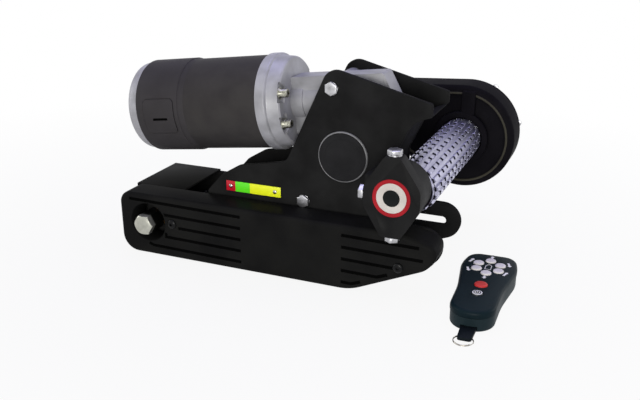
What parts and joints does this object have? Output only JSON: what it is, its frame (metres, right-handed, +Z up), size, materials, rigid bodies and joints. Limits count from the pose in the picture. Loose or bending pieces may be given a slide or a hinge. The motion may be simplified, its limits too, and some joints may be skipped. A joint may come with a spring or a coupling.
{
  "type": "caravan motor mover",
  "caption": "Caravan motor mover: a geared motor turns a ribbed roller on a carriage that a screw slides against the tyre, with a radio handset.",
  "frame": {"origin": "centre of the flat underside of the base frame", "axes": "+X towards the tyre, +Y along the roller away from the front cover, +Z up"},
  "size_m": [0.3986, 0.3185, 0.207],
  "materials": {
    "satin_black_steel": "satin black powder coat, fine texture",
    "black_plastic": "moulded black plastic, light grain",
    "black_screw": "black oxide",
    "bronze": "turned bronze",
    "dark_steel": "turned steel, lightly oiled",
    "bright_steel": "ground steel",
    "zinc_bolts": "bright zinc plate",
    "acetal": "low friction plastic",
    "strip": "printed strip in red, green and yellow",
    "cast_aluminium": "die cast, fine matte",
    "motor_paint": "dark grey satin paint",
    "magnet": "ferrite",
    "copper_core": "laminated steel with copper windings",
    "brush_carrier": "moulded carrier",
    "bearing_steel": "ground bearing steel",
    "gear_steel": "machined steel, greased",
    "roller_aluminium": "extruded, knurled ribs",
    "casing_plastic": "glass filled black plastic, satin",
    "handset_shell": "soft touch dark blue black",
    "board": "green lacquered board",
    "pale_key": "pale moulded rubber",
    "red_key": "red moulded rubber",
    "dark_key": "dark moulded rubber",
    "strap": "black webbing grip",
    "ring_steel": "nickel plate"
  },
  "bodies": {
    "base": {"base_frame": "satin_black_steel", "front_cover": "black_plastic", "drive_cover": "black_plastic", "cover_screws": "black_screw", "spindle_bush": "bronze", "screw_supports": "dark_steel"},
    "spindle": {"hex_spindle": "bright_steel", "spindle_bevel": "gear_steel"},
    "screw": {"lead_screw": "bright_steel", "screw_bevel": "gear_steel"},
    "carriage": {"near_plate": "satin_black_steel", "far_plate": "satin_black_steel", "tyre_guard": "satin_black_steel", "guide_pins": "bright_steel", "glide_washers": "acetal", "lead_nut": "bronze", "plate_bolts": "zinc_bolts", "cross_spacer": "dark_steel", "gauge_strip": "strip", "bearing_cap": "satin_black_steel", "gearbox_case": "cast_aluminium", "motor_flange": "cast_aluminium", "flange_screws": "zinc_bolts", "motor_can": "motor_paint", "magnets": "magnet", "brush_band": "motor_paint", "brush_holder": "brush_carrier", "motor_end_cap": "cast_aluminium", "motor_bearings": "bearing_steel", "shaft_bearings": "bearing_steel", "shaft_tube": "satin_black_steel", "gear_casing": "casing_plastic", "casing_cover": "casing_plastic", "casing_bolts": "zinc_bolts", "roller_bearings": "bearing_steel", "roller_axle": "bright_steel", "roller_end_cap": "satin_black_steel", "cap_bolts": "zinc_bolts"},
    "armature": {"armature": "copper_core", "motor_shaft": "bright_steel", "worm": "gear_steel"},
    "wheel_shaft": {"worm_wheel": "bronze", "cross_shaft": "bright_steel", "drive_pinion": "gear_steel"},
    "roller": {"drive_roller": "roller_aluminium", "roller_shaft": "bright_steel", "roller_gear": "gear_steel"},
    "handset": {"handset_base": "handset_shell", "handset_top": "handset_shell", "circuit_board": "board", "strap_tab": "strap"},
    "ring": {"split_ring": "ring_steel"},
    "key_forward_body": {"key_forward": "pale_key"},
    "key_back_body": {"key_back": "pale_key"},
    "key_front_left_body": {"key_front_left": "pale_key"},
    "key_front_right_body": {"key_front_right": "pale_key"},
    "key_rear_left_body": {"key_rear_left": "pale_key"},
    "key_rear_right_body": {"key_rear_right": "pale_key"},
    "stop_button_body": {"stop_button": "red_key"},
    "power_button_body": {"power_button": "dark_key"}
  },
  "joints": [
    {"name": "carriage_slide", "type": "slide", "parent": "base", "child": "carriage", "axis": [1, 0, 0], "range_m": [0, 0.042]},
    {"name": "screw_turn", "type": "hinge", "parent": "base", "child": "screw", "pos_m": [0, -0.00225, 0.0358], "axis": [1, 0, 0], "range_deg": [-3040, 10]},
    {"name": "spindle_turn", "type": "hinge", "parent": "base", "child": "spindle", "pos_m": [-0.0957, 0, 0.0358], "axis": [0, 1, 0], "range_deg": [-3040, 10]},
    {"name": "armature_spin", "type": "hinge", "parent": "carriage", "child": "armature", "pos_m": [0.09877, -0.00225, 0.16815], "axis": [0.9928, 0, 0.1201], "continuous": true},
    {"name": "wheel_spin", "type": "hinge", "parent": "carriage", "child": "wheel_shaft", "pos_m": [0.1046, 0, 0.12], "axis": [0, 1, 0], "continuous": true},
    {"name": "roller_spin", "type": "hinge", "parent": "carriage", "child": "roller", "pos_m": [0.17567, 0, 0.10029], "axis": [0, 1, 0], "continuous": true},
    {"name": "handset_lift", "type": "slide", "parent": "base", "child": "handset", "axis": [0, 0, 1], "range_m": [0, 0.04]},
    {"name": "ring_turn", "type": "hinge", "parent": "handset", "child": "ring", "pos_m": [0.24695, -0.12245, 0.0039], "axis": [0, 0, 1], "continuous": true},
    {"name": "key_forward_press", "type": "slide", "parent": "handset", "child": "key_forward_body", "axis": [0, 0, -1], "range_m": [0, 0.001], "stiffness_N_per_m": 800},
    {"name": "key_back_press", "type": "slide", "parent": "handset", "child": "key_back_body", "axis": [0, 0, -1], "range_m": [0, 0.001], "stiffness_N_per_m": 800},
    {"name": "key_front_left_press", "type": "slide", "parent": "handset", "child": "key_front_left_body", "axis": [0, 0, -1], "range_m": [0, 0.001], "stiffness_N_per_m": 800},
    {"name": "key_front_right_press", "type": "slide", "parent": "handset", "child": "key_front_right_body", "axis": [0, 0, -1], "range_m": [0, 0.001], "stiffness_N_per_m": 800},
    {"name": "key_rear_left_press", "type": "slide", "parent": "handset", "child": "key_rear_left_body", "axis": [0, 0, -1], "range_m": [0, 0.001], "stiffness_N_per_m": 800},
    {"name": "key_rear_right_press", "type": "slide", "parent": "handset", "child": "key_rear_right_body", "axis": [0, 0, -1], "range_m": [0, 0.001], "stiffness_N_per_m": 800},
    {"name": "stop_button_press", "type": "slide", "parent": "handset", "child": "stop_button_body", "axis": [0, 0, -1], "range_m": [0, 0.001], "stiffness_N_per_m": 800},
    {"name": "power_button_press", "type": "slide", "parent": "handset", "child": "power_button_body", "axis": [0, 0, -1], "range_m": [0, 0.001], "stiffness_N_per_m": 800}
  ],
  "couplings": [
    {"joint": "screw_turn", "follows": "carriage_slide", "rad_per_m": -1256.6},
    {"joint": "spindle_turn", "follows": "carriage_slide", "rad_per_m": -1256.6},
    {"joint": "wheel_spin", "follows": "armature_spin", "ratio": -0.033333},
    {"joint": "roller_spin", "follows": "armature_spin", "ratio": 0.017094}
  ]
}
